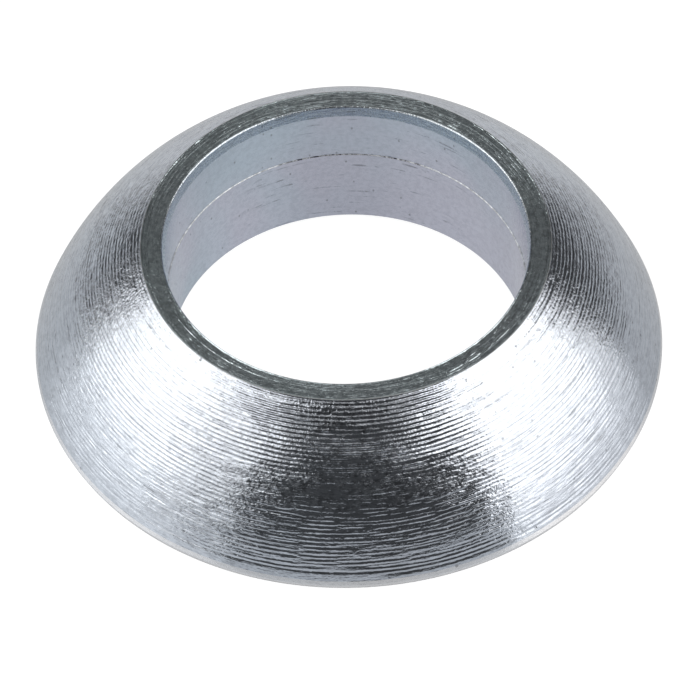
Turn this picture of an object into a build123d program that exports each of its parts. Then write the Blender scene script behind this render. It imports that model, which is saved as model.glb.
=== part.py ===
from build123d import *
import math
import os

# Spherical washer for an M20 stud, turned in one piece from steel bar and zinc plated.
# Its convex face is a zone of one sphere centred on the bore axis, so the washer can
# tilt in a matching dished seat while its flat base stays square under the nut.
#
# Millimetres, +Z up. The origin is on the bore axis in the plane of the flat base.

# Driving dimensions
RIM_DIAMETER = 36.0  # straight outer rim
HEIGHT = 9.3  # flat base to flat top ring
RIM_LAND = 0.85  # height of the straight rim below the spherical face
RING_WIDTH = 1.15  # flat top ring, from the bore's mouth out to the spherical face
BORE_DIAMETER = 20.4  # lower bore, 0.4 over an M20 stud
ENTRY_DEPTH = 3.9  # depth of the upper bore, opened from the ring side
ENTRY_STEP = 0.05  # how much larger the upper bore is, in radius
MOUTH_DEPTH = 0.65  # depth of the slight taper that leads into the upper bore
MOUTH_TAPER = 0.15  # how far that taper opens, in radius
MOUTH_EDGE = 0.06  # 45 degree edge break between the taper and the top ring
BASE_CHAMFER = 0.2  # at the bore's lower mouth
RIM_EDGE_RADIUS = 0.5  # rounded edge between the rim and the flat base
CREST_EDGE_RADIUS = 0.12  # edge break between the top ring and the spherical face

# Sizes that follow from them
RIM_RADIUS = RIM_DIAMETER / 2
BORE_RADIUS = BORE_DIAMETER / 2
ENTRY_RADIUS = BORE_RADIUS + ENTRY_STEP
MOUTH_RADIUS = ENTRY_RADIUS + MOUTH_TAPER
RING_INNER_RADIUS = MOUTH_RADIUS + MOUTH_EDGE
RING_OUTER_RADIUS = RING_INNER_RADIUS + RING_WIDTH
STEP_HEIGHT = HEIGHT - ENTRY_DEPTH


def seat_centre_height():
    """Height of the sphere's centre, which is on the bore axis.

    It is as far from the rim's top edge as from the top ring's outer edge.
    """
    ring_edge = RING_OUTER_RADIUS**2 + HEIGHT**2
    rim_edge = RIM_RADIUS**2 + RIM_LAND**2
    return (ring_edge - rim_edge) / (2 * (HEIGHT - RIM_LAND))


def seat_radius():
    """Radius of the spherical face, about 19.3 mm."""
    return math.hypot(RIM_RADIUS, RIM_LAND - seat_centre_height())


def seat_angle(radius, height):
    """Angle of a point on the seat's arc, up from the horizontal at its centre."""
    return math.degrees(math.atan2(height - seat_centre_height(), radius))


def seat_arc():
    """Arc of the spherical face, from the rim's top edge up to the top ring."""
    rim_angle = seat_angle(RIM_RADIUS, RIM_LAND)
    ring_angle = seat_angle(RING_OUTER_RADIUS, HEIGHT)
    centre = (0, seat_centre_height())
    return CenterArc(centre, seat_radius(), rim_angle, ring_angle - rim_angle)


def bore_outline():
    """Bore side of the section, from the top ring down to the flat base.

    A slight taper leads into the upper bore, which ends in a 45 degree shoulder, where
    its tool met the lower bore.
    """
    return [
        (RING_OUTER_RADIUS, HEIGHT),
        (RING_INNER_RADIUS, HEIGHT),
        (MOUTH_RADIUS, HEIGHT - MOUTH_EDGE),
        (ENTRY_RADIUS, HEIGHT - MOUTH_DEPTH),
        (ENTRY_RADIUS, STEP_HEIGHT + ENTRY_STEP),
        (BORE_RADIUS, STEP_HEIGHT),
        (BORE_RADIUS, BASE_CHAMFER),
        (BORE_RADIUS + BASE_CHAMFER, 0),
    ]


def half_section():
    """Section on one side of the bore axis, in the XZ plane, with its edges broken."""
    rim_foot = (RIM_RADIUS, 0)
    ring_edge = (RING_OUTER_RADIUS, HEIGHT)
    with BuildSketch(Plane.XZ) as section:
        with BuildLine():
            seat_arc()
            Polyline(*bore_outline(), rim_foot, (RIM_RADIUS, RIM_LAND))
        make_face()
        fillet(section.vertices().sort_by_distance(rim_foot)[0], RIM_EDGE_RADIUS)
        fillet(section.vertices().sort_by_distance(ring_edge)[0], CREST_EDGE_RADIUS)
    return section.sketch


def spherical_washer():
    """The whole washer, turned about the bore axis."""
    return revolve(half_section(), axis=Axis.Z)


os.makedirs("parts", exist_ok=True)
export_step(spherical_washer(), "parts/spherical_washer.step")
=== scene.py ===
import logging
import math
from dataclasses import dataclass, field
from enum import Enum

import bpy
import numpy as np
from mathutils import Matrix, Quaternion, Vector


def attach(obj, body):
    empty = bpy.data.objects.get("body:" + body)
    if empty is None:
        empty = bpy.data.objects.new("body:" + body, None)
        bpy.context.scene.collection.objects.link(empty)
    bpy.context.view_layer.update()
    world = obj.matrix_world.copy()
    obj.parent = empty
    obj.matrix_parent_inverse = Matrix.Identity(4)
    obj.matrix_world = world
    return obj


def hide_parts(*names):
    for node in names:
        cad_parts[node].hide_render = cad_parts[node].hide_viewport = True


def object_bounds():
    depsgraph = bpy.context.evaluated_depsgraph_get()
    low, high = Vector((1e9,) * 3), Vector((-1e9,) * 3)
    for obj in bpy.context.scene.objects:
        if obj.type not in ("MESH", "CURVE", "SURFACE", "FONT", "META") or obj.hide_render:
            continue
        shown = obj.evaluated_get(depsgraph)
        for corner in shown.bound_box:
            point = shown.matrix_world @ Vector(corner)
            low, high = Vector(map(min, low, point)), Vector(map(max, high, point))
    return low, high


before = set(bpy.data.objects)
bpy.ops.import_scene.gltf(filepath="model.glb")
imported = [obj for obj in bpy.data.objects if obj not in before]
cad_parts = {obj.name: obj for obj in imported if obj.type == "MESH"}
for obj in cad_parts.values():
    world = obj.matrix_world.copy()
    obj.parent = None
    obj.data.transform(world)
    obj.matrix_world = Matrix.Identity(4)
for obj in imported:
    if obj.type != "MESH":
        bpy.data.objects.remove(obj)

CAD_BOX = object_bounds()
NODE = "spherical_washer"
MM = 0.001  # metres
TURN = 2.0 * math.pi
FRONT = 0.25  # where the front is, in turns before the X axis
MEAN_RADIUS = 15.0  # millimetres, where the cells of a pattern have their true width
SECTION_MAP = "Section"  # turns round the axis, and millimetres along a surface
BAKE_MAP = "OFBake"  # the map, in two halves, for baking the materials into
BAKE_MARGIN = 0.004  # bare edge round each half of that map
PATTERN_SHIFT = 11.0  # millimetres between the patterns of two surfaces with one finish
WHITE = (1.0, 1.0, 1.0, 1.0)
LOG = logging.getLogger(NODE)


class Zone(Enum):
    """The turned surfaces of the washer, in the order in which its section runs."""

    BASE = 0
    RIM_EDGE = 1
    RIM = 2
    SEAT = 3
    CREST = 4
    RING = 5
    MOUTH = 6
    LEAD = 7
    ENTRY_BORE = 8
    SHOULDER = 9
    LOWER_BORE = 10
    FOOT_CHAMFER = 11


# Surfaces that share the finish of another one
FINISHED_LIKE = {
    Zone.RIM_EDGE: Zone.RIM,
    Zone.LOWER_BORE: Zone.ENTRY_BORE,
    Zone.FOOT_CHAMFER: Zone.MOUTH,
}


@dataclass(frozen=True)
class WasherSizes:
    """Real sizes of the washer in millimetres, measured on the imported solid.

    Attributes:
        rim_radius: Outside radius.
        height: From the flat base to the flat top ring.
        rim_land: Height at which the straight rim meets the spherical face.
        foot_radius: Inner radius of the flat base, where the bore's lower chamfer ends.
        ring_outer: Outer radius of the flat top ring.
        ring_inner: Inner radius of the flat top ring, where the bore's mouth starts.
        mouth_radius: Radius at the foot of the mouth's edge break.
        mouth_height: Height of that foot, where the taper into the bore starts.
        lead_foot: Height at which the taper ends in the upper bore.
        entry_radius: Radius of the slightly wider upper bore.
        bore_radius: Radius of the lower bore.
        step_foot: Height of the lower end of the shoulder between the two bores.
        seat_radius: Radius of the spherical face.
        seat_centre: Height of that sphere's centre.
    """

    rim_radius: float
    height: float
    rim_land: float
    foot_radius: float
    ring_outer: float
    ring_inner: float
    mouth_radius: float
    mouth_height: float
    lead_foot: float
    entry_radius: float
    bore_radius: float
    step_foot: float
    seat_radius: float
    seat_centre: float

    @classmethod
    def from_frame(cls, node: str) -> "WasherSizes":
        """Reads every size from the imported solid's own vertices.

        Args:
            node: Name of the washer's CAD node.

        Returns:
            The sizes in millimetres.
        """
        points = np.array([v.co[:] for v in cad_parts[node].data.vertices]) / MM
        radius = np.hypot(points[:, 0], points[:, 1])
        height = points[:, 2]
        near = 0.004  # how far a vertex may lie from its surface
        top, rim, bore = height.max(), radius.max(), radius.min()
        at_top = radius[height > top - near]
        at_base = radius[height < near]
        at_rim = height[radius > rim - near]
        step_foot = height[radius < bore + near].max()
        in_bore = (radius < at_top.min() - near) & (height > step_foot + near)
        entry = radius[in_bore].min()
        lead_foot = height[in_bore & (radius < entry + near)].max()
        at_mouth = in_bore & (height > lead_foot + near)
        on_seat = (radius > at_top.max() + near) & (height > at_rim.max() + near)
        on_seat &= height < top - (rim - at_base.max())  # clear of the rounded crest
        # On a sphere, radius squared plus height squared is 2 * centre * height + rest
        square = radius[on_seat] ** 2 + height[on_seat] ** 2
        terms = np.c_[2 * height[on_seat], np.ones(on_seat.sum())]
        centre, rest = np.linalg.lstsq(terms, square, rcond=None)[0]
        return cls(
            rim_radius=float(rim),
            height=float(top),
            rim_land=float(at_rim.max()),
            foot_radius=float(at_base.min()),
            ring_outer=float(at_top.max()),
            ring_inner=float(at_top.min()),
            mouth_radius=float(radius[at_mouth].max()),
            mouth_height=float(height[at_mouth].max()),
            lead_foot=float(lead_foot),
            entry_radius=float(entry),
            bore_radius=float(bore),
            step_foot=float(step_foot),
            seat_radius=math.sqrt(rest + centre**2),
            seat_centre=float(centre),
        )

    @property
    def crest_radius(self) -> float:
        """The edge break between the top ring and the spherical face.

        Returns:
            Its radius in millimetres, so that it touches both of them.
        """
        rise = self.height - self.seat_centre
        gap = self.ring_outer**2 + rise**2 - self.seat_radius**2
        return gap / (2 * (rise - self.seat_radius))


def ramp(distance: np.ndarray, length: float) -> np.ndarray:
    """Grows from 0 to 1 over a length, and stays there."""
    return np.clip(distance / length, 0, 1)


def turns_away(turn: np.ndarray, middle: float) -> np.ndarray:
    """The shorter way round the axis to a place, in turns."""
    return np.abs((turn - middle + 0.5) % 1.0 - 0.5)


def groove(part: np.ndarray) -> np.ndarray:
    """Depth across a groove's width, 0 at both its edges and 1 in its middle."""
    return 4 * part * (1 - part)


@dataclass(frozen=True)
class Grain:
    """Random values over the turned surface, closed round the axis.

    Attributes:
        seed: Number that fixes the pattern, so every run makes the same one.
        round_axis: Number of cells in one turn.
        cell: Length of a cell along the section, in millimetres.
        swing: The largest value, to both sides of 0.
        stepped: Whether the value jumps from one cell to the next round the axis.
    """

    seed: int
    round_axis: int
    cell: float
    swing: float = 1.0
    stepped: bool = False

    def at(self, turn: np.ndarray, along: np.ndarray) -> np.ndarray:
        """Values from -swing to swing.

        Args:
            turn: Place round the axis, in turns.
            along: Place along the section, in millimetres.

        Returns:
            One value for each pair of places.
        """
        turn, along = np.broadcast_arrays(turn, along)
        across = along / self.cell
        rows = int(across.max()) + 3
        table = np.random.default_rng(self.seed).uniform(-1, 1, (self.round_axis, rows))
        spot = (turn % 1.0) * self.round_axis
        i, j = np.floor(spot).astype(int), np.floor(across).astype(int)
        x, y = spot - i, across - j
        x = np.round(x) if self.stepped else x * x * (3 - 2 * x)
        y = y * y * (3 - 2 * y)
        k = (i + 1) % self.round_axis
        i = i % self.round_axis
        low = table[i, j] * (1 - x) + table[k, j] * x
        high = table[i, j + 1] * (1 - x) + table[k, j + 1] * x
        return self.swing * (low * (1 - y) + high * y)


@dataclass
class Stretch:
    """One turned surface: a line, an arc or a quarter of an oval in the section, with its rows.

    Attributes:
        zone: Which surface it is.
        points: Radius and height of each row, in millimetres.
        normals: The section's outward direction at each row.
    """

    zone: Zone
    points: np.ndarray
    normals: np.ndarray

    @classmethod
    def line(cls, zone: Zone, start: tuple, end: tuple, rows: int = 1) -> "Stretch":
        """A straight stretch with the solid on its left.

        Args:
            zone: Which surface it is.
            start: Radius and height of its first row.
            end: Radius and height of its last row.
            rows: How many even gaps between rows.

        Returns:
            The stretch.
        """
        share = cls.shares(rows, math.dist(start, end))
        points = np.outer(1 - share, start) + np.outer(share, end)
        run = (np.array(end) - start) / math.dist(start, end)
        return cls(zone, points, np.tile((run[1], -run[0]), (len(share), 1)))

    @classmethod
    def arc(cls, zone: Zone, centre: tuple, radius: float, span: tuple, rows: int) -> "Stretch":
        """A convex round stretch.

        Args:
            zone: Which surface it is.
            centre: Radius and height of the arc's centre.
            radius: The arc's radius.
            span: Angles of its first and last row, from the outward direction.
            rows: How many even gaps between rows.

        Returns:
            The stretch.
        """
        share = cls.shares(rows, radius * abs(span[1] - span[0]))
        angle = span[0] + (span[1] - span[0]) * share
        normals = np.c_[np.cos(angle), np.sin(angle)]
        return cls(zone, np.array(centre) + radius * normals, normals)

    @classmethod
    def oval(cls, zone: Zone, start: tuple, end: tuple, rows: int) -> "Stretch":
        """A quarter of an oval, from lying flat at its start to upright at its end.

        Args:
            zone: Which surface it is.
            start: Radius and height of its first row.
            end: Radius and height of its last row.
            rows: How many even gaps between rows.

        Returns:
            The stretch.
        """
        wide, high = end[0] - start[0], end[1] - start[1]
        angle = (cls.shares(rows, math.dist(start, end)) - 1) * math.pi / 2
        points = np.c_[start[0] + wide * np.cos(angle), end[1] + high * np.sin(angle)]
        normals = np.c_[high * np.cos(angle), wide * np.sin(angle)]
        return cls(zone, points, normals / np.linalg.norm(normals, axis=1)[:, None])

    @staticmethod
    def shares(rows: int, length: float, crisp: float = 0.02) -> np.ndarray:
        """Places of the rows, with one close to each end that keeps the edge crisp.

        Args:
            rows: How many even gaps between rows.
            length: The stretch's length, in millimetres.
            crisp: Distance of the extra rows from the ends, in millimetres.

        Returns:
            Places from 0 to 1.
        """
        even = np.linspace(0, 1, rows + 1)
        edge = min(crisp / length, 0.25 / rows)
        return np.unique(np.r_[even, edge, 1 - edge])

    @property
    def along(self) -> np.ndarray:
        """Distance of each row from the first one, in millimetres."""
        return np.r_[0, np.cumsum(np.linalg.norm(np.diff(self.points, axis=0), axis=1))]


@dataclass(frozen=True)
class Patch:
    """A stretch of a surface that runs part of the way round.

    Attributes:
        low: Where it starts, in millimetres along the section.
        high: Where it ends.
        start: Where it starts round the axis, in degrees from the front, to the right.
        end: Where it ends. Unless both are given, it goes all the way round.
        side_blur: How soft its two sides are, in turns.
        low_blur: How soft its lower end is, in millimetres.
        high_blur: How soft its upper end is, in millimetres.
    """

    low: float
    high: float
    start: float = -185.0  # past the back, where the soft sides would meet
    end: float = 185.0
    side_blur: float = 0.012
    low_blur: float = 0.3
    high_blur: float = 0.4

    @property
    def middle(self) -> float:
        """Its middle round the axis, in turns."""
        return (self.start + self.end) / 720

    @property
    def reach(self) -> float:
        """How far it reaches to each side of its middle, in turns."""
        return (self.end - self.start) / 720

    def cover(self, turn: np.ndarray, along: np.ndarray) -> np.ndarray:
        """Values of 1 inside the patch, falling softly to 0 at its edges.

        Args:
            turn: Place round the axis, in turns.
            along: Place along the section, in millimetres.

        Returns:
            One value for each pair of places.
        """
        sides = ramp(self.reach - turns_away(turn, self.middle), self.side_blur)
        ends = ramp(along - self.low, self.low_blur) * ramp(self.high - along, self.high_blur)
        return sides * ends


TORN = Patch(4.2, 6.6, -31, 28)  # where the tool tore the spherical face


@dataclass(frozen=True)
class SeatTurning:
    """Marks that the turning tool left on the spherical face.

    The tool went round in one helix, from the rim inwards.

    Attributes:
        feed: Distance from one groove to the next, in millimetres.
        depth: Depth of a groove near the rim, in millimetres.
        inner_depth: Depth of a groove near the top ring.
        deepening: Where the depth changes, from and to, in millimetres from the rim.
        land: Width left uncut next to the rim, in millimetres.
        start: Place round the axis where the tool first cut, in turns.
        run_in: How soon the first groove reaches its depth, in grooves.
        lopsided: 1 for even grooves, more where the flank towards the rim is the longer one.
        wander: How far the grooves wander sideways, in grooves.
        uneven: How much the depth changes over short and over long stretches, as a share.
        caught: Where the tool caught.
        jog: How far the grooves jump sideways there, in grooves.
        jumps: Where they jump, and to which side.
        jump_from: The value of jumps from which a groove jumps.
        jump_over: How much larger it is where the jump is complete.
        skips: Where the tool skipped a groove or cut it less deep.
        skip_from: The value of skips from which a groove is less deep.
        skip_over: How much larger it would be where the groove is gone.
        skip_most: The largest share of a groove's depth that a skip takes.
        torn: Where the tool tore the surface, so that the grooves are broken up or lost.
        pieces: How far the broken pieces of groove lie out of line there, in grooves.
        loss: Share of a groove's depth that is lost there on average.
        losses: How much more or less is lost from place to place.
        loss_most: The largest share that is lost.
        calm: How much shallower the grooves are at the back, as a share.
        calm_from: Where they start to be so, in turns from the front.
        calm_over: How far it takes, in turns.
    """

    feed: float = 0.252
    depth: float = 0.020
    inner_depth: float = 0.028
    deepening: tuple = (5.0, 8.0)
    land: float = 0.42
    start: float = 0.0155
    run_in: float = 0.15
    lopsided: float = 1.7
    wander: Grain = Grain(11, 90, 1.1, swing=0.07)
    uneven: tuple = (Grain(13, 110, 0.25, swing=0.4), Grain(14, 20, 0.25, swing=0.4))
    caught: Patch = Patch(0.9, 4.6, low_blur=0.3, high_blur=0.8)
    jog: float = 0.45
    jumps: Grain = Grain(12, 54, 0.5, stepped=True)
    jump_from: float = 0.42
    jump_over: float = 1 / 9
    skips: Grain = Grain(16, 110, 0.3, stepped=True)
    skip_from: float = 3.2 / 6
    skip_over: float = 1 / 6
    skip_most: float = 0.85
    torn: Patch = TORN
    pieces: Grain = Grain(18, 150, 0.5, swing=0.5, stepped=True)
    loss: float = 0.35
    losses: Grain = Grain(17, 130, 0.35, swing=0.9)
    loss_most: float = 0.92
    calm: float = 0.5
    calm_from: float = 0.11
    calm_over: float = 0.14

    def phase_at(self, turn: np.ndarray, along: np.ndarray) -> np.ndarray:
        """How many grooves lie between a place and the first one.

        Args:
            turn: Place round the axis, in turns.
            along: Distance from the rim along the face, in millimetres.

        Returns:
            A count with its fraction, for each row and column.
        """
        jumps = self.jumps.at(turn, along)
        jog = self.jog * np.sign(jumps) * ramp(np.abs(jumps) - self.jump_from, self.jump_over)
        helix = (along - self.land) / self.feed - (turn - self.start) % 1.0
        broken = self.torn.cover(turn, along) * self.pieces.at(turn, along)
        return helix + self.wander.at(turn, along) + self.caught.cover(turn, along) * jog + broken

    def strength_at(self, turn: np.ndarray, along: np.ndarray) -> np.ndarray:
        """How deep the grooves are at a place, as a share of their plain depth.

        Args:
            turn: Place round the axis, in turns.
            along: Distance from the rim along the face, in millimetres.

        Returns:
            A share for each row and column.
        """
        strength = 1.0 + sum(grain.at(turn, along) for grain in self.uneven)
        skipped = ramp(self.skips.at(turn, along) - self.skip_from, self.skip_over)
        skipped = self.caught.cover(turn, along) * np.minimum(skipped, self.skip_most)
        lost = np.clip(self.loss + self.losses.at(turn, along), 0, self.loss_most)
        lost = self.torn.cover(turn, along) * lost
        calmer = self.calm * ramp(turns_away(turn, 0.0) - self.calm_from, self.calm_over)
        return strength * (1 - skipped) * (1 - lost) * (1 - calmer)

    def depth_at(self, turn: np.ndarray, along: np.ndarray) -> np.ndarray:
        """How far the surface lies under the sphere, in millimetres.

        Args:
            turn: Place round the axis, in turns.
            along: Distance from the rim along the face, in millimetres.

        Returns:
            A depth for each row and column.
        """
        phase = self.phase_at(turn, along)
        near, far = self.deepening
        deep = self.depth + (self.inner_depth - self.depth) * ramp(along - near, far - near)
        shape = groove((phase % 1.0) ** self.lopsided)
        return deep * ramp(phase, self.run_in) * self.strength_at(turn, along) * shape


@dataclass(frozen=True)
class Score:
    """A deeper line on the top ring, which runs part of the way round.

    Attributes:
        along: Distance from the spherical face, in millimetres.
        start: Where it starts, in degrees round the axis from the front, to the right.
        end: Where it ends.
        depth: Its depth, in millimetres.
        run_out: How far its ends rise to the surface, in turns.
    """

    along: float
    start: float
    end: float
    depth: float = 0.06
    run_out: float = 0.006

    def depth_at(self, turn: np.ndarray, along: np.ndarray, half: float) -> np.ndarray:
        """Depth of the score over the ring, as a V.

        Args:
            turn: Place round the axis, in turns.
            along: Distance from the spherical face, in millimetres.
            half: Half the width of the V, in millimetres.

        Returns:
            A depth for each row and column.
        """
        arc = Patch(self.along, self.along, self.start, self.end)
        ends = ramp(arc.reach - turns_away(turn, arc.middle), self.run_out)
        return self.depth * ends * ramp(half - np.abs(along - self.along), half)


@dataclass(frozen=True)
class RingTurning:
    """Fine rings that the facing tool left on the top ring.

    Attributes:
        feed: Distance from one groove to the next, in millimetres.
        depth: Depth of a plain groove, in millimetres.
        wander: How far the grooves wander sideways, in grooves.
        uneven: How much their depth changes, as a share.
        grit: Rough grain on top of the grooves.
        grit_depth: Its depth, as a share of a groove's.
        score_half: Half the width of a score, in millimetres.
        broken: How much the depth of a score changes, as a share.
        scores: The deeper lines.
    """

    feed: float = 0.23
    depth: float = 0.027
    wander: Grain = Grain(21, 40, 0.5, swing=0.08)
    uneven: Grain = Grain(22, 22, 0.23, swing=0.9)
    grit: Grain = Grain(23, 150, 0.1, swing=0.5)
    grit_depth: float = 0.4
    score_half: float = 0.075
    broken: Grain = Grain(24, 120, 0.3, swing=0.3)
    scores: tuple = (
        Score(0.99, -64, -17),
        Score(0.67, -62, -19),
        Score(0.34, -58, -28, 0.035),
        Score(0.33, 28, 72),
        Score(0.58, 26, 46, 0.04),
        Score(0.90, 2, 50, 0.035),
        Score(0.98, 128, 152),
        Score(0.25, 124, 152, 0.04),
        Score(0.62, -118, -96, 0.035),
        Score(0.50, 172, 206, 0.035),
    )

    def depth_at(self, turn: np.ndarray, along: np.ndarray) -> np.ndarray:
        """How far the surface lies under the flat, in millimetres.

        Args:
            turn: Place round the axis, in turns.
            along: Distance from the spherical face, in millimetres.

        Returns:
            A depth for each row and column.
        """
        phase = along / self.feed + self.wander.at(turn, along)
        strength = 1.0 + self.uneven.at(turn, along)
        rough = self.grit_depth * (self.grit.swing + self.grit.at(turn, along))
        plain = self.depth * (groove(phase % 1.0) * strength + rough)
        broken = 1.0 + self.broken.at(turn, along)
        scored = [score.depth_at(turn, along, self.score_half) for score in self.scores]
        return np.maximum(plain, broken * np.max(scored, axis=0))


@dataclass
class TurnedWasher:
    """The whole washer as one closed turned mesh.

    Attributes:
        sizes: The washer's real sizes.
        columns: How many steps go round the axis.
        seat_rows: How many steps go down the spherical face.
        ring_rows: How many steps go across the top ring.
        tuck: How far the rim's rounded lower edge reaches inwards, in millimetres.
        upright: Height of the straight rim above that edge, in millimetres.
        skirt: Width of the spherical face's lowest part, as smooth as the rim, in millimetres.
        fade: How far from a surface's ends its tool marks die out, in millimetres.
        seat_turning: Tool marks of the spherical face.
        ring_turning: Tool marks of the top ring.
    """

    sizes: WasherSizes
    columns: int = 300
    seat_rows: int = 256
    ring_rows: int = 34
    tuck: float = 1.55
    upright: float = 0.05
    skirt: float = 0.27
    fade: float = 0.06
    seat_turning: SeatTurning = field(default_factory=SeatTurning)
    ring_turning: RingTurning = field(default_factory=RingTurning)

    def section(self) -> list[Stretch]:
        """Draws the closed section.

        Returns:
            Its stretches, from the foot of the bore round the outside and back down the bore.
        """
        s = self.sizes
        base_edge = (s.rim_radius - self.tuck, 0)
        rim_edge = (s.rim_radius, s.rim_land - self.upright)
        rim_angle = math.atan2(s.rim_land - s.seat_centre, s.rim_radius)
        crest = (s.ring_outer, s.height - s.crest_radius)
        crest_angle = math.atan2(crest[1] - s.seat_centre, crest[0])
        mouth = (s.mouth_radius, s.mouth_height)
        lead = (s.entry_radius, s.lead_foot)
        step = (s.entry_radius, s.step_foot + s.entry_radius - s.bore_radius)
        foot = (s.bore_radius, s.foot_radius - s.bore_radius)
        quarter = math.pi / 2
        seat = (0, s.seat_centre)
        return [
            Stretch.line(Zone.BASE, (s.foot_radius, 0), base_edge, 3),
            Stretch.oval(Zone.RIM_EDGE, base_edge, rim_edge, 4),
            Stretch.line(Zone.RIM, rim_edge, (s.rim_radius, s.rim_land)),
            Stretch.arc(Zone.SEAT, seat, s.seat_radius, (rim_angle, crest_angle), self.seat_rows),
            Stretch.arc(Zone.CREST, crest, s.crest_radius, (crest_angle, quarter), 2),
            Stretch.line(Zone.RING, (s.ring_outer, s.height), (s.ring_inner, s.height), self.ring_rows),
            Stretch.line(Zone.MOUTH, (s.ring_inner, s.height), mouth),
            Stretch.line(Zone.LEAD, mouth, lead, 4),
            Stretch.line(Zone.ENTRY_BORE, lead, step),
            Stretch.line(Zone.SHOULDER, step, (s.bore_radius, s.step_foot)),
            Stretch.line(Zone.LOWER_BORE, (s.bore_radius, s.step_foot), foot),
            Stretch.line(Zone.FOOT_CHAMFER, foot, (s.foot_radius, 0)),
        ]

    def sunk(self, stretch: Stretch, turn: np.ndarray) -> np.ndarray:
        """How deep the tool marks of a stretch are.

        Args:
            stretch: The turned surface.
            turn: Place of each column round the axis, in turns.

        Returns:
            A depth in millimetres for each row and column.
        """
        along = stretch.along[:, None]
        fade = ramp(np.minimum(along, along[-1] - along), self.fade)
        if stretch.zone is Zone.SEAT:
            return fade * self.seat_turning.depth_at(turn, along)
        if stretch.zone is Zone.RING:
            return fade * self.ring_turning.depth_at(turn, along)
        return np.zeros((len(along), len(turn)))

    def build(self) -> bpy.types.Object:
        """Makes the mesh object, with a section map and a bake map.

        Returns:
            The washer's object, at the origin, with each face's zone as its material.
        """
        turn = np.arange(self.columns) / self.columns
        angle = TURN * (turn - FRONT)
        rings, zones, start, reach = [], [], [], []
        for stretch in self.section():
            depth = self.sunk(stretch, turn)
            radius = stretch.points[:, 0, None] - stretch.normals[:, 0, None] * depth
            height = stretch.points[:, 1, None] - stretch.normals[:, 1, None] * depth
            ring = np.stack([radius * np.cos(angle), radius * np.sin(angle), height], axis=2)
            rings.append(ring[:-1])
            zone = np.full(len(ring) - 1, stretch.zone.value)
            if stretch.zone is Zone.SEAT:
                zone[stretch.along[1:] < self.skirt] = Zone.RIM.value
            zones += list(zone)
            shift = PATTERN_SHIFT * (stretch.zone in FINISHED_LIKE)
            start += list(stretch.along[:-1] + shift)
            reach += list(stretch.along[1:] + shift)
        return self.assemble(np.concatenate(rings), np.array(zones), np.array(start), np.array(reach))

    def assemble(
        self, points: np.ndarray, zones: np.ndarray, start: np.ndarray, reach: np.ndarray
    ) -> bpy.types.Object:
        """Joins rows of points into one closed mesh.

        Args:
            points: Positions in millimetres, by row and column.
            zones: The zone of each row of faces.
            start: Where each row of faces starts, in millimetres from its zone's own start.
            reach: Where each row of faces ends.

        Returns:
            The new object, linked to the scene.
        """
        rows, columns = points.shape[:2]
        row, column = np.meshgrid(np.arange(rows), np.arange(columns), indexing="ij")
        next_row, next_column = (row + 1) % rows, (column + 1) % columns
        corners = [row * columns + column, row * columns + next_column]
        corners += [next_row * columns + next_column, next_row * columns + column]
        faces = np.stack(corners, axis=2).reshape(-1, 4)
        mesh = bpy.data.meshes.new("turned_washer")
        mesh.from_pydata(points.reshape(-1, 3) * MM, [], faces.tolist())
        mesh.polygons.foreach_set("material_index", np.repeat(zones, columns))
        mesh.polygons.foreach_set("use_smooth", np.ones(len(faces), bool))
        low, high = column / columns, (column + 1) / columns
        turn = np.stack([low, high, high, low], axis=2).reshape(-1)
        near, far = start[row], reach[row]
        self.add_map(mesh, SECTION_MAP, turn, np.stack([near, near, far, far], axis=2).reshape(-1))
        whole = np.r_[0, np.cumsum(reach - start)]
        near, far = whole[row] / whole[-1], whole[row + 1] / whole[-1]
        up = np.stack([near, near, far, far], axis=2).reshape(-1)
        half = np.repeat((column >= columns // 2).reshape(-1), 4)
        across = (2 * turn - half) * (1 - 2 * BAKE_MARGIN) + BAKE_MARGIN
        up = up * (0.5 - 2 * BAKE_MARGIN) + BAKE_MARGIN + 0.5 * half
        self.add_map(mesh, BAKE_MAP, across, up)
        mesh.update()
        washer = bpy.data.objects.new("turned_washer", mesh)
        bpy.context.scene.collection.objects.link(washer)
        return washer

    @staticmethod
    def add_map(mesh: bpy.types.Mesh, name: str, across: np.ndarray, up: np.ndarray) -> None:
        """Adds a UV map, from the two values of each face corner."""
        layer = mesh.uv_layers.new(name=name)
        layer.uv.foreach_set("vector", np.stack([across, up], axis=1).astype(np.float32).ravel())


@dataclass(frozen=True)
class Pattern:
    """A noise over the turned surface.

    Attributes:
        round_axis: Cells per millimetre round the axis, as a number or a socket.
        along: Cells per millimetre along the section, as a number or a socket.
        detail: How many finer layers it has.
        rough: How strong those layers are.
        low: Where its spots start to show, as a value of the noise.
        high: Where they show in full.
    """

    round_axis: object
    along: object
    detail: float = 2.0
    rough: float = 0.6
    low: float = 0.0
    high: float = 1.0


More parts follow.
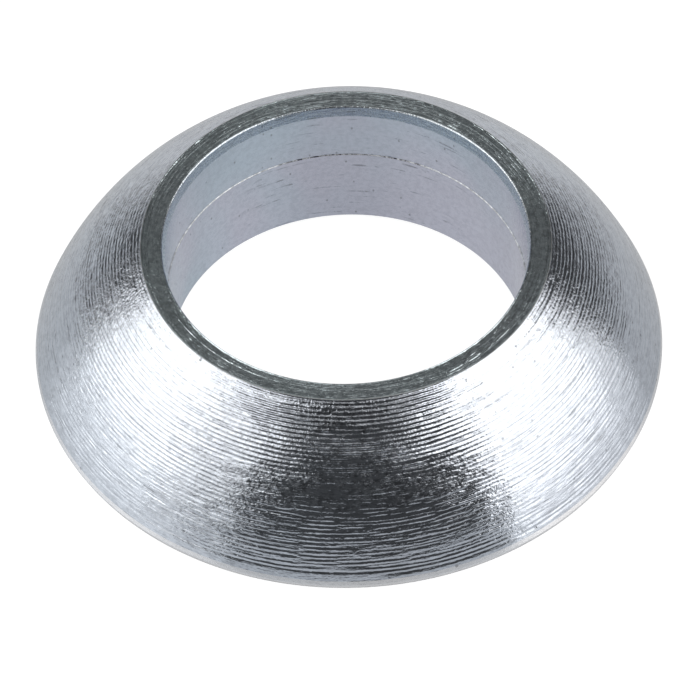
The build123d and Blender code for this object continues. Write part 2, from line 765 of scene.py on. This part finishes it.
@dataclass
class Nodes:
    """A short way to write a node tree.

    The three numbers are those of the mix node's sockets for colours.

    Attributes:
        tree: The tree that the nodes go into.
    """

    MIX_FIRST, MIX_SECOND, MIX_RESULT = 6, 7, 2
    tree: bpy.types.NodeTree

    def add(self, kind: str, inputs: dict | None = None, **settings: object) -> bpy.types.Node:
        """Adds one node.

        Args:
            kind: Blender's type name of the node.
            inputs: Values or sockets for its inputs, by name or number.
            **settings: Values for the node's own properties.

        Returns:
            The node.
        """
        node = self.tree.nodes.new(kind)
        for name, value in settings.items():
            setattr(node, name, value)
        for name, value in (inputs or {}).items():
            self.feed(node.inputs[name], value)
        return node

    def feed(self, socket: bpy.types.NodeSocket, value: object) -> None:
        """Links a socket to another one, or sets its value.

        Args:
            socket: The input.
            value: The socket that feeds it, or a plain value.
        """
        if isinstance(value, bpy.types.NodeSocket):
            self.tree.links.new(value, socket)
        else:
            socket.default_value = value

    def math(self, operation: str, a: object, b: object = 0.0, c: object = 0.0) -> bpy.types.NodeSocket:
        """The result of a math node."""
        return self.add("ShaderNodeMath", {0: a, 1: b, 2: c}, operation=operation).outputs[0]

    def rise(self, value: object, low: object, high: object) -> bpy.types.NodeSocket:
        """A value of 0 at low and 1 at high, straight in between."""
        node = self.add("ShaderNodeMapRange", {"Value": value, "From Min": low, "From Max": high})
        return node.outputs["Result"]

    def smooth_rise(self, value: object, low: float, high: float) -> bpy.types.NodeSocket:
        """Grows smoothly from 0 to 1.

        Args:
            value: What it follows.
            low: Where it is 0.
            high: Where it is 1.

        Returns:
            The value, as a socket.
        """
        result = self.rise(value, low, high)
        result.node.interpolation_type = "SMOOTHSTEP"
        return result

    def blend(self, share: object, low: object, high: object) -> bpy.types.NodeSocket:
        """A mix of two colours, all low at a share of 0."""
        inputs = {0: share, self.MIX_FIRST: low, self.MIX_SECOND: high}
        return self.add("ShaderNodeMix", inputs, data_type="RGBA").outputs[self.MIX_RESULT]

    def noise(self, pattern: Pattern) -> bpy.types.NodeSocket:
        """The plain value of a noise pattern.

        Args:
            pattern: Its cells and layers.

        Returns:
            The value, around one half.
        """
        place = self.place(pattern.round_axis, pattern.along)
        inputs = {"Vector": place, "Scale": 1.0, "Detail": pattern.detail, "Roughness": pattern.rough}
        return self.add("ShaderNodeTexNoise", inputs).outputs["Fac"]

    def spots(self, pattern: Pattern) -> bpy.types.NodeSocket:
        """The spots of a noise pattern, from 0 to 1."""
        return self.smooth_rise(self.noise(pattern), pattern.low, pattern.high)

    def place(self, round_axis: object, along: object) -> bpy.types.NodeSocket:
        """A place on the turned surface, in pattern cells.

        Args:
            round_axis: Cells per millimetre round the axis.
            along: Cells per millimetre along the section.

        Returns:
            The place, as a vector.
        """
        point = self.add("ShaderNodeTexCoord").outputs["Object"]
        flat = self.add("ShaderNodeVectorMath", {0: point, 1: (1, 1, 0)}, operation="MULTIPLY")
        out = self.add("ShaderNodeVectorMath", {0: flat.outputs[0]}, operation="NORMALIZE")
        wide = self.add("ShaderNodeVectorMath", {0: out.outputs[0]}, operation="SCALE")
        self.feed(wide.inputs["Scale"], self.math("MULTIPLY", round_axis, MEAN_RADIUS))
        deep = self.add("ShaderNodeCombineXYZ", {2: self.math("MULTIPLY", self.reach(), along)})
        ends = {0: wide.outputs[0], 1: deep.outputs[0]}
        return self.add("ShaderNodeVectorMath", ends, operation="ADD").outputs[0]

    def turn(self) -> bpy.types.NodeSocket:
        """Place round the axis, in turns from the front, to the right."""
        section = self.add("ShaderNodeUVMap", uv_map=SECTION_MAP).outputs[0]
        return self.add("ShaderNodeSeparateXYZ", {0: section}).outputs["X"]

    def reach(self) -> bpy.types.NodeSocket:
        """Distance along the section from where the surface starts, in millimetres."""
        section = self.add("ShaderNodeUVMap", uv_map=SECTION_MAP).outputs[0]
        return self.add("ShaderNodeSeparateXYZ", {0: section}).outputs["Y"]

    def sideways(self) -> bpy.types.NodeSocket:
        """Place from side to side.

        Returns:
            A value from -1 on the washer's left side to 1 on its right side.
        """
        point = self.add("ShaderNodeTexCoord").outputs["Object"]
        out = self.add("ShaderNodeVectorMath", {0: point}, operation="NORMALIZE")
        return self.add("ShaderNodeSeparateXYZ", {0: out.outputs[0]}).outputs["X"]


class Effects:
    """Shader node groups that the washer's finishes share. Each is built once."""

    FINE_LINES = Pattern(1.3, 9.0)
    RIDGES = Pattern(6.5, 2.6, detail=1.0, rough=0.5)
    GRIT = Pattern(5.5, 7.0, low=0.35, high=0.65)
    FLECKS = Pattern(2.0, 6.0, detail=1.0, rough=0.5, low=0.48, high=0.72)
    UNEVEN_EDGE = Pattern(0.5, 1.2)
    PATCHES = Pattern(0.9, 2.0, low=0.3, high=0.52)
    MOTTLE = Pattern(2.0, 3.6, detail=3.0, rough=0.75, low=0.62, high=0.35)
    SCORES = Pattern(0.2, 5.0, detail=1.0, rough=0.5, low=0.63, high=0.7)
    SCORE_BREAKS = Pattern(1.2, 2.0, detail=3.0, rough=0.7, low=0.42, high=0.56)
    # the dark that the mottle blends to; on the shoulder's back it is painted shade
    MOTTLE_AND_SHADE_COLOUR = (0.05, 0.05, 0.06, 1.0)
    EDGE_SHIFT = 1.6  # millimetres over which a band's ends wander
    SIDE_SHIFT = 0.05  # turns over which its sides wander
    SIDE_BLEND = 0.03  # turns over which they fade
    PIT_BRIM = 2.2  # how far a pit's brim reaches, in radii of the pit

    def __init__(self) -> None:
        """Builds the groups."""
        self.tool_marks = self.make_tool_marks()
        self.band = self.make_band()
        self.plating = self.make_plating()
        self.pits = self.make_pits()

    @staticmethod
    def start(name: str, inputs: dict[str, float | tuple], outputs: dict[str, str]) -> tuple:
        """Makes a group with named sockets.

        Args:
            name: The group's name.
            inputs: Default value of each input; a tuple makes a colour.
            outputs: Socket type of each output.

        Returns:
            The node writer, the input sockets by name, and the output node.
        """
        tree = bpy.data.node_groups.new(name, "ShaderNodeTree")
        for label, value in inputs.items():
            kind = "NodeSocketColor" if isinstance(value, tuple) else "NodeSocketFloat"
            socket = tree.interface.new_socket(label, in_out="INPUT", socket_type=kind)
            socket.default_value = value
        for label, kind in outputs.items():
            tree.interface.new_socket(label, in_out="OUTPUT", socket_type=kind)
        nodes = Nodes(tree)
        entry = nodes.add("NodeGroupInput")
        leave = nodes.add("NodeGroupOutput")
        return nodes, entry.outputs, leave

    def make_tool_marks(self) -> bpy.types.NodeTree:
        """Fine lines round the axis, ridges across them where the tool chattered, grit and flecks.

        Returns:
            The group. Its height is in metres, and its mask shows the grit.
        """
        nodes, given, leave = self.start(
            "Tool marks",
            {"Lines": 0.01, "Chatter": 0.01, "Grit": 0.01, "Flecks": 0.0},
            {"Height": "NodeSocketFloat", "Mask": "NodeSocketFloat"},
        )
        grit = nodes.noise(self.GRIT)
        high = nodes.math("MULTIPLY", nodes.noise(self.FINE_LINES), given["Lines"])
        high = nodes.math("MULTIPLY_ADD", nodes.noise(self.RIDGES), given["Chatter"], high)
        high = nodes.math("MULTIPLY_ADD", grit, given["Grit"], high)
        high = nodes.math("MULTIPLY_ADD", nodes.spots(self.FLECKS), given["Flecks"], high)
        nodes.feed(leave.inputs["Height"], nodes.math("MULTIPLY", high, MM))
        nodes.feed(leave.inputs["Mask"], nodes.smooth_rise(grit, self.GRIT.low, self.GRIT.high))
        return nodes.tree

    def make_band(self) -> bpy.types.NodeTree:
        """A patch of the surface, uneven at its edges and broken up inside.

        Returns:
            The group.
        """
        nodes, given, leave = self.start(
            "Band",
            {"From": 1.0, "To": 2.0, "Middle": 0.0, "Reach": 0.6, "Blend": 0.4},
            {"Mask": "NodeSocketFloat"},
        )
        uneven = nodes.noise(self.UNEVEN_EDGE)
        below = nodes.math("SUBTRACT", nodes.reach(), self.EDGE_SHIFT / 2)
        spot = nodes.math("MULTIPLY_ADD", uneven, self.EDGE_SHIFT, below)
        into = nodes.rise(spot, given["From"], nodes.math("ADD", given["From"], given["Blend"]))
        out = nodes.rise(spot, given["To"], nodes.math("SUBTRACT", given["To"], given["Blend"]))
        turn = nodes.math("SUBTRACT", nodes.turn(), nodes.math("SUBTRACT", given["Middle"], 0.5))
        away = nodes.math("ABSOLUTE", nodes.math("SUBTRACT", nodes.math("FRACT", turn), 0.5))
        away = nodes.math("MULTIPLY_ADD", uneven, self.SIDE_SHIFT, away)
        side = nodes.math("ADD", given["Reach"], self.SIDE_BLEND)
        inside = nodes.math("MULTIPLY", into, out)
        inside = nodes.math("MULTIPLY", inside, nodes.rise(away, side, given["Reach"]))
        nodes.feed(leave.inputs["Mask"], nodes.math("MULTIPLY", inside, nodes.spots(self.PATCHES)))
        return nodes.tree

    def make_plating(self) -> bpy.types.NodeTree:
        """The plating's slow drift between two tints, with a fine dark mottle that also carries painted
        shade.

        Returns:
            The group.
        """
        nodes, given, leave = self.start(
            "Plating tint",
            {
                "Tint": (0.6, 0.62, 0.65, 1.0),
                "Other tint": (0.6, 0.6, 0.62, 1.0),
                "Patches": 0.12,
                "Across": 0.15,
                "Along": 0.01,
                "Mottle": 0.1,
            },
            {"Colour": "NodeSocketColor"},
        )
        cells = given["Patches"]
        drift = Pattern(cells, cells, detail=1.5, rough=0.5, low=0.3, high=0.7)
        share = nodes.math("MULTIPLY_ADD", nodes.sideways(), given["Across"], nodes.noise(drift))
        share = nodes.math("MULTIPLY_ADD", nodes.reach(), given["Along"], share)
        share = nodes.smooth_rise(share, drift.low, drift.high)
        tint = nodes.blend(share, given["Tint"], given["Other tint"])
        darker = nodes.math("MULTIPLY", nodes.spots(self.MOTTLE), given["Mottle"])
        nodes.feed(leave.inputs["Colour"], nodes.blend(darker, tint, self.MOTTLE_AND_SHADE_COLOUR))
        return nodes.tree

    def make_pits(self) -> bpy.types.NodeTree:
        """Small pits and short broken scores round the axis.

        Returns:
            The group.
        """
        nodes, given, leave = self.start(
            "Pits and scores",
            {"Per mm": 1.3, "Size": 0.07, "Share": 0.4, "Scores": 0.5},
            {"Mask": "NodeSocketFloat"},
        )
        place = nodes.place(given["Per mm"], given["Per mm"])
        cells = nodes.add("ShaderNodeTexVoronoi", {"Vector": place, "Scale": 1.0})
        chance = nodes.add("ShaderNodeSeparateColor", {0: cells.outputs["Color"]}).outputs[0]
        present = nodes.math("LESS_THAN", chance, given["Share"])
        brim = nodes.math("MULTIPLY", given["Size"], self.PIT_BRIM)
        pit = nodes.math("MULTIPLY", nodes.rise(cells.outputs["Distance"], brim, given["Size"]), present)
        score = nodes.math("MULTIPLY", nodes.spots(self.SCORES), nodes.spots(self.SCORE_BREAKS))
        score = nodes.math("MULTIPLY", score, given["Scores"])
        nodes.feed(leave.inputs["Mask"], nodes.math("MAXIMUM", pit, score))
        return nodes.tree


def fresh_material(name: str, inputs: dict) -> tuple[bpy.types.Material, Nodes, bpy.types.Node]:
    """Makes a material with a Principled BSDF.

    Args:
        name: The material's name.
        inputs: Plain values for the shader's inputs.

    Returns:
        The material, the writer of its nodes, and the shader.
    """
    made = bpy.data.materials.new(name)
    made.use_nodes = True
    shader = made.node_tree.nodes["Principled BSDF"]
    for label, value in inputs.items():
        shader.inputs[label].default_value = value
    return made, Nodes(made.node_tree), shader


@dataclass(frozen=True)
class Band:
    """A patch of a surface on which the tool tore or chattered, or a patch darkened with painted shade.

    Attributes:
        patch: Where it is.
        chatter: Extra height of the ridges across the tool lines, in millimetres.
        grit: Extra height of the fine grain, in millimetres.
        flecks: Extra height of the flecks, in millimetres.
        mottle: Extra strength of the plating's mottle, which on the shoulder's back is painted shade.
        scores: Extra strength of the broken scores.
        spread: Extra roughness in the spots of the grain.
    """

    LEVELS = ("chatter", "grit", "flecks", "mottle", "scores", "spread")  # what it adds to
    patch: Patch
    chatter: float = 0.0
    grit: float = 0.0
    flecks: float = 0.0
    mottle: float = 0.0
    scores: float = 0.0
    spread: float = 0.0


@dataclass(frozen=True)
class PlatedFinish:
    """Zinc-plated turned steel, as one of the washer's surfaces shows it.

    Attributes:
        name: The material's name.
        tint: The plating's colour; the shoulder's is paler as a painted highlight, and the mouth's
            taper's is a little darker as painted shade.
        other_tint: The colour it drifts to.
        roughness: How blurred reflections are, on average.
        spread: How much rougher the spots of the grain are than the rest.
        lines: Height of the fine lines round the axis, in millimetres.
        chatter: Height of the ridges across them, in millimetres.
        grit: Height of the fine grain, in millimetres.
        flecks: Height of the scattered flecks, in millimetres.
        bands: Stretches with rougher marks.
        pit_share: Share of the places for a pit that have one.
        pit_size: Radius of a pit, in pattern cells.
        pit_depth: Depth of a pit, in millimetres.
        pit_shade: How far a pit or score is darkened to its painted shade, from 0 to 1.
        painted_pit_shade: Colour of the painted shade inside pits and scores.
        scores: Strength of the broken scores, from 0 to 1.
        mottle: Strength of the plating's fine mottle, from 0 to 1.
    """

    name: str
    tint: tuple = (0.56, 0.62, 0.69, 1.0)
    other_tint: tuple = (0.58, 0.63, 0.67, 1.0)
    roughness: float = 0.22
    spread: float = 0.08
    lines: float = 0.01
    chatter: float = 0.004
    grit: float = 0.01
    flecks: float = 0.0
    bands: tuple = ()
    pit_share: float = 0.3
    pit_size: float = 0.07
    pit_depth: float = 0.008
    pit_shade: float = 0.3
    # painted shade inside pits and scores
    painted_pit_shade: tuple = (0.12, 0.13, 0.14, 1.0)
    scores: float = 0.3
    mottle: float = 0.1

    def material(self, effects: Effects) -> bpy.types.Material:
        """Builds the material.

        Args:
            effects: The shared node groups.

        Returns:
            The material.
        """
        made, nodes, shader = fresh_material(self.name, {"Metallic": 1.0})
        levels = {name: getattr(self, name) for name in Band.LEVELS}
        for band in self.bands:
            patch = band.patch
            edges = {"From": patch.low, "To": patch.high, "Middle": patch.middle, "Reach": patch.reach}
            mask = nodes.add("ShaderNodeGroup", edges, node_tree=effects.band).outputs["Mask"]
            for name in Band.LEVELS:
                levels[name] = nodes.math("MULTIPLY_ADD", mask, getattr(band, name), levels[name])
        heights = {
            "Lines": self.lines,
            "Chatter": levels["chatter"],
            "Grit": levels["grit"],
            "Flecks": levels["flecks"],
        }
        marks = nodes.add("ShaderNodeGroup", heights, node_tree=effects.tool_marks)
        tints = {"Tint": self.tint, "Other tint": self.other_tint, "Mottle": levels["mottle"]}
        plating = nodes.add("ShaderNodeGroup", tints, node_tree=effects.plating)
        dents = {"Share": self.pit_share, "Size": self.pit_size, "Scores": levels["scores"]}
        pits = nodes.add("ShaderNodeGroup", dents, node_tree=effects.pits).outputs["Mask"]
        # Pits and scores are darkened with painted shade, the shade that falls into them.
        dark = nodes.math("MULTIPLY", pits, self.pit_shade)
        colour = nodes.blend(dark, plating.outputs["Colour"], self.painted_pit_shade)
        nodes.feed(shader.inputs["Base Color"], colour)
        least = self.roughness - self.spread / 2
        rough = nodes.math("MULTIPLY_ADD", marks.outputs["Mask"], levels["spread"], least)
        nodes.feed(shader.inputs["Roughness"], rough)
        lift = nodes.math("MULTIPLY_ADD", pits, -self.pit_depth * MM, marks.outputs["Height"])
        bump = nodes.add("ShaderNodeBump", {"Height": lift, "Strength": 1.0, "Distance": 1.0})
        nodes.feed(shader.inputs["Normal"], bump.outputs[0])
        return made


@dataclass
class SoftBox:
    """A flat lit panel that faces the washer, or a strip of one.

    Attributes:
        name: The lamp's name.
        bearing: Where it stands, in degrees round the axis from the front, to the right.
        elevation: How high its middle is, in degrees above the floor.
        distance: From the washer, in metres.
        width: Its width, in metres.
        low: Its lower edge, in metres under its middle. A strip over the middle has a negative value.
        high: Its upper edge, in metres over its middle. A strip under the middle has a negative value.
        level: Brightness of the panel, where 1 is white.
        lean: How far it leans clockwise as the washer sees it, in degrees.
        colour: Colour of its light.
    """

    name: str
    bearing: float
    elevation: float
    distance: float
    width: float
    low: float
    high: float
    level: float
    lean: float = 0.0
    colour: tuple = (1.0, 0.965, 0.92)

    def build(self, centre: Vector) -> bpy.types.Object:
        """Makes the lamp.

        Args:
            centre: The point that it faces.

        Returns:
            The lamp's object.
        """
        a, e = math.radians(self.bearing), math.radians(self.elevation)
        away = Vector((math.sin(a) * math.cos(e), -math.cos(a) * math.cos(e), math.sin(e)))
        turned = away.to_track_quat("Z", "Y") @ Quaternion((0, 0, 1), math.radians(self.lean))
        lamp = bpy.data.lights.new(self.name, "AREA")
        lamp.shape = "RECTANGLE"
        lamp.size, lamp.size_y = self.width, self.high + self.low
        lamp.color = self.colour
        lamp.energy = self.level * math.pi * lamp.size * lamp.size_y
        placed = bpy.data.objects.new(self.name, lamp)
        placed.rotation_mode = "QUATERNION"
        placed.rotation_quaternion = turned
        shift = turned @ Vector((0, (self.high - self.low) / 2, 0))
        placed.location = centre + away * self.distance + shift
        placed.visible_camera = False
        bpy.context.scene.collection.objects.link(placed)
        return placed


@dataclass(frozen=True)
class FloorSheet:
    """The pale satin sheet that the washer stands on.

    Attributes:
        colour: Its colour.
        roughness: How blurred reflections in it are.
        gloss: Strength of those reflections.
        white: Its glow as the camera or glass sees it.
        mirrored: Its glow as the metal sees it.
        half_width: Half its width, in metres.
    """

    colour: tuple = (0.22, 0.225, 0.23, 1.0)
    roughness: float = 0.22
    gloss: float = 0.44
    white: float = 0.92
    mirrored: float = 0.46
    half_width: float = 3.0

    def material(self) -> bpy.types.Material:
        """Builds the material, which shows white and keeps the washer's soft shadow.

        Returns:
            The material.
        """
        inputs = {"Base Color": self.colour, "Roughness": self.roughness}
        inputs |= {"Specular IOR Level": self.gloss, "Emission Color": WHITE}
        made, nodes, sheet = fresh_material("floor_sheet", inputs)
        path = nodes.add("ShaderNodeLightPath")
        seen = nodes.math("MAXIMUM", path.outputs["Is Camera Ray"], path.outputs["Is Transmission Ray"])
        seen = nodes.math("MULTIPLY", seen, self.white)
        glow = nodes.math("MULTIPLY_ADD", path.outputs["Is Glossy Ray"], self.mirrored, seen)
        nodes.feed(sheet.inputs["Emission Strength"], glow)
        return made


@dataclass(frozen=True)
class TentCloth:
    """The dark cloth of the tent.

    Attributes:
        colour: Its colour.
        glow: The little light that comes through it.
        radius: The tent's radius, in metres.
        sides: How many flat sides it has.
        rings: How many steps go from the floor to its top.
    """

    colour: tuple = (0.15, 0.15, 0.15, 1.0)
    glow: float = 0.044
    radius: float = 0.8
    sides: int = 48
    rings: int = 12

    def material(self) -> bpy.types.Material:
        """Builds the material.

        Returns:
            The material.
        """
        inputs = {"Base Color": self.colour, "Roughness": 1.0}
        inputs |= {"Emission Color": WHITE, "Emission Strength": self.glow}
        return fresh_material("tent_cloth", inputs)[0]

    def outline(self) -> tuple[list, list]:
        """Draws the upper half of a ball, open at the floor.

        Returns:
            Its points, and the points of each face.
        """
        steps = [math.pi / 2 * j / self.rings for j in range(self.rings)]
        angles = [TURN * i / self.sides for i in range(self.sides)]
        points = [
            Vector((math.cos(a) * math.cos(e), math.sin(a) * math.cos(e), math.sin(e))) * self.radius
            for e in steps
            for a in angles
        ]
        points.append(Vector((0, 0, self.radius)))
        square = ((0, 0), (0, 1), (1, 1), (1, 0))
        faces = [
            [(j + up) * self.sides + (i + over) % self.sides for up, over in square]
            for j in range(self.rings - 1)
            for i in range(self.sides)
        ]
        top = (self.rings - 1) * self.sides
        faces += [(top + i, top + (i + 1) % self.sides, len(points) - 1) for i in range(self.sides)]
        return points, faces


@dataclass
class Studio:
    """Floor, tent, lamps and world round the washer.

    Attributes:
        centre: The middle of the washer.
        floor_height: Height of the floor, in metres.
        sheet: The floor's sheet.
        cloth: The tent's cloth.
    """

    centre: Vector
    floor_height: float
    sheet: FloorSheet = FloorSheet()
    cloth: TentCloth = TentCloth()

    def build(self) -> None:
        """Makes everything round the washer."""
        self.world()
        self.floor()
        self.tent()
        for box in self.soft_boxes():
            box.build(self.centre)

    def soft_boxes(self) -> list[SoftBox]:
        """Lists the panels.

        Returns:
            Those at both sides, with their feet, edges and tops, and the cards behind and on top.
        """
        near, far = 0.30, 0.50  # distances
        right, left, top = 21.9, 13.6, 52.0  # elevations
        # Name, bearing, elevation, distance, width, low, high, level, lean
        return [
            SoftBox("soft_box_right", 73.3, right, near, 0.277, 0.060, 0.28, 2.2, 3.0),
            SoftBox("soft_box_right_foot", 73.3, right, near, 0.277, 0.124, -0.060, 1.95, 3.0),
            SoftBox("soft_box_right_edge", 103.5, right, near, 0.060, 0.124, 0.28, 1.3, 2.0),
            SoftBox("soft_box_right_top", 34.0, top, near, 0.060, 0.035, 0.05, 0.8),
            SoftBox("soft_box_left_back", -115.0, left, near, 0.045, 0.050, 0.32, 1.0),
            SoftBox("soft_box_left_outer", -104.5, left, near, 0.066, 0.062, 0.32, 1.85),
            SoftBox("soft_box_left", -81.0, left, near, 0.183, 0.019, 0.32, 2.2),
            SoftBox("soft_box_left_foot", -82.5, left, near, 0.165, 0.086, -0.019, 1.4),
            SoftBox("soft_box_left_inner", -57.5, left, near, 0.070, 0.015, 0.32, 1.3, -7.0),
            SoftBox("soft_box_left_inner_foot", -59.0, left, near, 0.060, 0.080, -0.015, 0.95, -7.0),
            SoftBox("soft_box_left_edge", -46.0, left, near, 0.064, 0.040, 0.32, 0.95, -11.0),
            SoftBox("soft_box_left_top", -45.0, top, near, 0.095, 0.035, 0.05, 0.75),
            SoftBox("back_card", 180.0, 50.0, far, 0.36, 0.14, 0.14, 0.10),
            SoftBox("low_back_card", 180.0, 10.0, far, 0.60, 0.08, 0.14, 0.6),
            SoftBox("top_card", 0.0, 86.0, far, 0.26, 0.13, 0.13, 0.7),
        ]

    def world(self) -> None:
        """White where the camera, metal or glass looks straight at it, and dark as a light."""
        world = bpy.data.worlds.new("surround")
        world.use_nodes = True
        bpy.context.scene.world = world
        nodes = Nodes(world.node_tree)
        back = world.node_tree.nodes["Background"]
        path = nodes.add("ShaderNodeLightPath")
        seen = nodes.math("MAXIMUM", path.outputs["Is Camera Ray"], path.outputs["Is Glossy Ray"])
        seen = nodes.math("MAXIMUM", seen, path.outputs["Is Transmission Ray"])
        nodes.feed(back.inputs["Strength"], seen)
        back.inputs["Color"].default_value = WHITE

    @staticmethod
    def put_up(name: str, points: list, faces: list, made: bpy.types.Material) -> bpy.types.Object:
        """Makes an object of one material and links it to the scene.

        Args:
            name: Its name.
            points: Its corners, in metres.
            faces: The corners of each face.
            made: Its material.

        Returns:
            The object.
        """
        mesh = bpy.data.meshes.new(name)
        mesh.from_pydata(points, [], faces)
        mesh.materials.append(made)
        placed = bpy.data.objects.new(name, mesh)
        bpy.context.scene.collection.objects.link(placed)
        return placed

    def floor(self) -> None:
        """A wide flat sheet under the washer."""
        far = self.sheet.half_width
        corners = [(-far, -far, 0), (far, -far, 0), (far, far, 0), (-far, far, 0)]
        floor = self.put_up("floor", corners, [(0, 1, 2, 3)], self.sheet.material())
        floor.location.z = self.floor_height

    def tent(self) -> None:
        """A dark round tent, as is put up round bright metal. The camera looks through it."""
        tent = self.put_up("tent", *self.cloth.outline(), self.cloth.material())
        tent.visible_camera = False


@dataclass
class ProductCamera:
    """A long-lens camera that looks down on the washer.

    Attributes:
        centre: The middle of the washer.
        elevation: Height of the view above the horizon, in degrees.
        lean: How far the camera leans clockwise, in degrees.
        distance: From the middle of the washer, in metres.
        slide: How far the camera stands to the right and above its axis to the middle, in metres.
        lens: Focal length in millimetres.
        sensor: Width of the camera's sensor, in millimetres.
        clip: The nearest and the farthest place that it shows, in metres.
    """

    centre: Vector
    elevation: float = 49.53
    lean: float = 1.63
    distance: float = 0.3592
    slide: tuple = (0.000057, -0.003064)
    lens: float = 324.1
    sensor: float = 36.0
    clip: tuple = (0.01, 10.0)

    def build(self) -> bpy.types.Object:
        """Makes the camera and gives it to the scene.

        Returns:
            The camera's object.
        """
        e = math.radians(self.elevation)
        back = Vector((0, -math.cos(e), math.sin(e)))
        right = Vector((1, 0, 0))
        up = back.cross(right)
        lean = Matrix.Rotation(-math.radians(self.lean), 3, back)
        axes = Matrix((lean @ right, lean @ up, back)).transposed()
        camera = bpy.data.objects.new("camera", bpy.data.cameras.new("camera"))
        camera.data.lens = self.lens
        camera.data.sensor_width = self.sensor
        camera.data.clip_start, camera.data.clip_end = self.clip
        camera.rotation_mode = "QUATERNION"
        camera.rotation_quaternion = axes.to_quaternion()
        camera.location = self.centre + back * self.distance + right * self.slide[0] + up * self.slide[1]
        bpy.context.scene.collection.objects.link(camera)
        bpy.context.scene.camera = camera
        return camera


FINISHES = {
    Zone.SEAT: PlatedFinish(
        "turned_seat", tint=(0.59, 0.65, 0.735, 1.0), other_tint=(0.54, 0.585, 0.66, 1.0),
        roughness=0.12, spread=0.05, lines=0.014, chatter=0.0, grit=0.011, flecks=0.001,
        bands=(
            Band(TORN, grit=0.005, flecks=0.003, mottle=0.3, spread=0.12),
            Band(Patch(4.1, 6.6, -34, -9), grit=0.005, flecks=0.009),
            Band(Patch(4.3, 6.6, 7, 30), grit=0.005, flecks=0.008),
            Band(Patch(8.8, 14.0, -16, 10), chatter=0.024, grit=0.010, mottle=0.5),
            Band(Patch(5.8, 8.9, -22, 20), grit=0.010, mottle=0.2, spread=0.08),
            Band(Patch(0.9, 4.4, -40, 38), grit=0.010, flecks=0.001),
            Band(Patch(5.0, 14.0, -125, -70), grit=0.025, mottle=0.2),
            Band(Patch(5.0, 14.0, 68, 120), grit=0.015, mottle=0.2),
        ),
        pit_share=0.45, pit_size=0.065, pit_shade=0.5, scores=0.8, mottle=0.22,
    ),
    Zone.RING: PlatedFinish(
        "faced_ring", tint=(0.59, 0.69, 0.74, 1.0), other_tint=(0.54, 0.62, 0.67, 1.0), roughness=0.22,
        lines=0.022, chatter=0.003, grit=0.018, flecks=0.009, mottle=0.35,
    ),
    Zone.CREST: PlatedFinish(
        "crest_edge", tint=(0.42, 0.46, 0.49, 1.0), other_tint=(0.44, 0.47, 0.49, 1.0), roughness=0.4
    ),
    Zone.MOUTH: PlatedFinish("cut_edge", roughness=0.2, grit=0.03, chatter=0.02, mottle=0.3),
    # The taper's tint is a little darker than the bore's as painted shade, for the shadowed floor that
    # it reflects.
    Zone.LEAD: PlatedFinish(
        "mouth_taper", tint=(0.53, 0.63, 0.69, 1.0), other_tint=(0.55, 0.62, 0.69, 1.0), roughness=0.25,
        lines=0.014, grit=0.006, scores=0.7, pit_shade=0.5, mottle=0.15,
    ),
    Zone.ENTRY_BORE: PlatedFinish(
        "bored_wall", tint=(0.54, 0.63, 0.73, 1.0), other_tint=(0.60, 0.62, 0.73, 1.0), roughness=0.22,
        lines=0.010, grit=0.009, flecks=0.002, pit_shade=0.55, scores=0.1, mottle=0.11,
        # At the back the broken scores are stronger: real scores, whose dark colour there is painted
        # shade.
        bands=(Band(Patch(0.0, 20.0, 135, 215), scores=0.8),),
    ),
    # The shoulder's pale tint is a painted highlight for the bright line it shows at the sides, and its
    # extra mottle at the back is painted shade.
    Zone.SHOULDER: PlatedFinish(
        "shoulder", tint=(0.80, 0.84, 0.88, 1.0), other_tint=(0.82, 0.85, 0.88, 1.0), roughness=0.5,
        grit=0.03, mottle=0.55, bands=(Band(Patch(-3.0, 3.0, 152, 202), mottle=0.8),),
    ),
    Zone.RIM: PlatedFinish(
        "rim_land", tint=(0.76, 0.79, 0.84, 1.0), other_tint=(0.78, 0.79, 0.82, 1.0), roughness=0.25,
        lines=0.004, grit=0.006, scores=0.0, mottle=0.05,
    ),
    Zone.BASE: PlatedFinish("faced_base", roughness=0.3),
}


def main() -> None:
    """Builds the washer, its finishes, the studio and the camera."""
    logging.basicConfig(level=logging.INFO, format="%(name)s: %(message)s")
    bpy.context.scene.view_settings.view_transform = "Standard"
    sizes = WasherSizes.from_frame(NODE)
    LOG.info("sizes %s", sizes)
    washer = TurnedWasher(sizes).build()
    effects = Effects()
    made = {zone: finish.material(effects) for zone, finish in FINISHES.items()}
    for zone in Zone:
        washer.data.materials.append(made[FINISHED_LIKE.get(zone, zone)])
    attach(washer, "root")
    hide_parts(NODE)
    LOG.info("%s has %d faces", washer.name, len(washer.data.polygons))
    low, high = CAD_BOX
    centre = (low + high) / 2
    Studio(centre, low.z).build()
    ProductCamera(centre).build()


if __name__ == "__main__":
    main()
